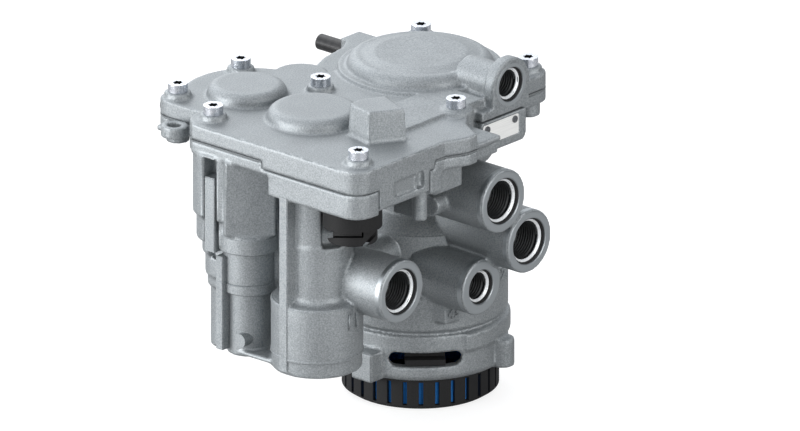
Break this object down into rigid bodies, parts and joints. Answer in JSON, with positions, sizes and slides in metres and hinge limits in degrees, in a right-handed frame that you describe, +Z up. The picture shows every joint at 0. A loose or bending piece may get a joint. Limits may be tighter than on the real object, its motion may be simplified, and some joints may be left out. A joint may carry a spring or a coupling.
{
  "type": "trailer control valve",
  "caption": "Die-cast aluminium trailer control valve with a screwed cover, threaded hose ports on one side, rear mounting studs and an exhaust silencer at the foot.",
  "frame": {"origin": "centre of the circle through the three mounting studs, in the middle plane of the 6 mm bracket they go through, 3 mm off the rear faces", "axes": "+Y out of the rear mounting faces, hose ports face -Y, +Z up, +X towards the relay column"},
  "size_m": [0.1808, 0.1768, 0.1866],
  "materials": {
    "cast_aluminium": "blasted, satin",
    "gasket_board": "matte",
    "zinc_steel": "bright zinc",
    "black_steel": "black oxide, satin",
    "plate_foil": "satin",
    "rivet_steel": "dark",
    "black_plastic": "moulded, matte",
    "black_rubber": "matte",
    "turned_aluminium": "turned",
    "spring_steel": "drawn wire",
    "plain_steel": "ground",
    "valve_brass": "turned",
    "blue_fleece": "matte fleece"
  },
  "bodies": {
    "housing": {"main_body": "cast_aluminium", "top_cover": "cast_aluminium", "cover_gasket": "gasket_board", "cover_screws": "zinc_steel", "mounting_studs": "black_steel", "nameplate": "plate_foil", "nameplate_rivets": "rivet_steel", "vent_cap": "black_plastic", "vent_flap": "black_rubber", "valve_spring": "spring_steel", "valve_guide": "turned_aluminium", "guide_seal": "black_rubber", "hand_brake_spring": "spring_steel", "end_plate": "plain_steel", "retaining_ring": "plain_steel", "throttle_spring": "spring_steel", "column_plug": "turned_aluminium", "column_ring": "plain_steel", "check_spring": "spring_steel", "check_plug": "turned_aluminium", "silencer_cage": "black_plastic", "silencer_filter": "blue_fleece"},
    "relay_piston_body": {"relay_piston": "turned_aluminium", "relay_seal": "black_rubber"},
    "relay_valve_body": {"relay_valve": "valve_brass"},
    "hand_brake_body": {"hand_brake_piston": "turned_aluminium", "hand_brake_seal": "black_rubber"},
    "throttle_body": {"throttle_piston": "turned_aluminium", "throttle_seal": "black_rubber"},
    "check_body": {"check_valve": "valve_brass"}
  },
  "joints": [
    {"name": "relay_piston_slide", "type": "slide", "parent": "housing", "child": "relay_piston_body", "axis": [0, 0, 1], "range_m": [0, 0.003]},
    {"name": "relay_valve_slide", "type": "slide", "parent": "housing", "child": "relay_valve_body", "axis": [0, 0, 1], "range_m": [-0.002, 0], "stiffness_N_per_m": 2000, "springref_m": 0.004, "deforming": ["valve_spring"]},
    {"name": "hand_brake_slide", "type": "slide", "parent": "housing", "child": "hand_brake_body", "axis": [0, 0, 1], "range_m": [-0.003, 0], "stiffness_N_per_m": 2000, "springref_m": 0.003, "deforming": ["hand_brake_spring"]},
    {"name": "throttle_slide", "type": "slide", "parent": "housing", "child": "throttle_body", "axis": [0, 0, 1], "range_m": [-0.003, 0], "stiffness_N_per_m": 2000, "springref_m": 0.004, "deforming": ["throttle_spring"]},
    {"name": "check_slide", "type": "slide", "parent": "housing", "child": "check_body", "axis": [0, 0, 1], "range_m": [-0.0025, 0], "stiffness_N_per_m": 500, "springref_m": 0.004, "deforming": ["check_spring"]}
  ]
}
